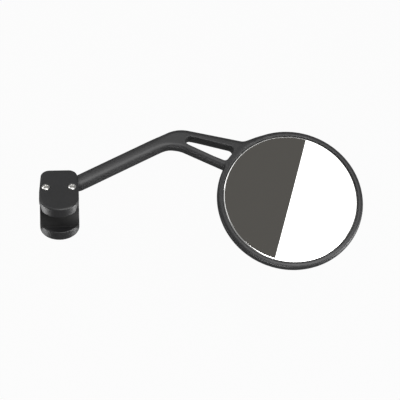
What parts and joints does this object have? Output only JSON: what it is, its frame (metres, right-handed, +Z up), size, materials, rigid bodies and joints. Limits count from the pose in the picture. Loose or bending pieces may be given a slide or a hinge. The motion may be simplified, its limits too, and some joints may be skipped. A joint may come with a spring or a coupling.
{
  "type": "motorcycle mirror",
  "caption": "Black handlebar mirror with a clamp on the bar, a bent arm that forks into a round housing, and a convex round glass.",
  "frame": {"origin": "on the axis of the handlebar that the clamp grips, midway between the clamp's two sides", "axes": "+X along the handlebar towards the mirror, +Y from the clamp's mouth to its flat back, +Z up through the roof with the screw heads"},
  "size_m": [0.2889, 0.1226, 0.073],
  "materials": {
    "satin_plastic": "fine satin grain, black",
    "pad_rubber": "matte black",
    "cup_plastic": "natural acetal",
    "stainless": "bright stainless",
    "nut_steel": "zinc plated",
    "stud_steel": "ground steel",
    "insert_brass": "turned brass",
    "foam": "closed-cell foam tape",
    "mirror_face": "silvered convex glass"
  },
  "bodies": {
    "clamp": {"upper_shell": "satin_plastic", "upper_bar_pad": "pad_rubber"},
    "jaw": {"lower_shell": "satin_plastic", "lower_bar_pad": "pad_rubber", "clamp_nut_left": "nut_steel", "clamp_nut_right": "nut_steel"},
    "screw_left": {"clamp_screw_left": "stainless"},
    "screw_right": {"clamp_screw_right": "stainless"},
    "cups": {"upper_ball_cup": "cup_plastic", "lower_ball_cup": "cup_plastic"},
    "ball": {"ball_stud": "stud_steel", "stud_ring": "stud_steel"},
    "arm": {"arm_frame": "satin_plastic", "stud_insert": "insert_brass", "glass_pad": "foam", "mirror_glass": "mirror_face"}
  },
  "joints": [
    {"name": "screw_left_turn", "type": "hinge", "parent": "clamp", "child": "screw_left", "pos_m": [-0.0115, 0.0162, 0.017], "axis": [0, 0, 1], "range_deg": [0, 1081]},
    {"name": "screw_right_turn", "type": "hinge", "parent": "clamp", "child": "screw_right", "pos_m": [0.0115, 0.0162, 0.017], "axis": [0, 0, 1], "range_deg": [0, 1081]},
    {"name": "jaw_slide", "type": "slide", "parent": "clamp", "child": "jaw", "axis": [0, 0, -1], "range_m": [0, 0.0021]},
    {"name": "arm_pan", "type": "hinge", "parent": "clamp", "child": "cups", "pos_m": [0, 0.0268, 0.0023], "axis": [0, 0, 1], "range_deg": [-10, 10]},
    {"name": "arm_tilt", "type": "hinge", "parent": "cups", "child": "ball", "pos_m": [0, 0.0268, 0.0023], "axis": [0.4019, -0.9157, 0], "range_deg": [-8, 5]},
    {"name": "mirror_roll", "type": "hinge", "parent": "ball", "child": "arm", "pos_m": [0, 0.0268, 0.0023], "axis": [0.8963, 0.3935, 0.2045], "continuous": true}
  ],
  "couplings": [
    {"joint": "screw_left_turn", "follows": "jaw_slide", "rad_per_m": 8976},
    {"joint": "screw_right_turn", "follows": "jaw_slide", "rad_per_m": 8976}
  ]
}
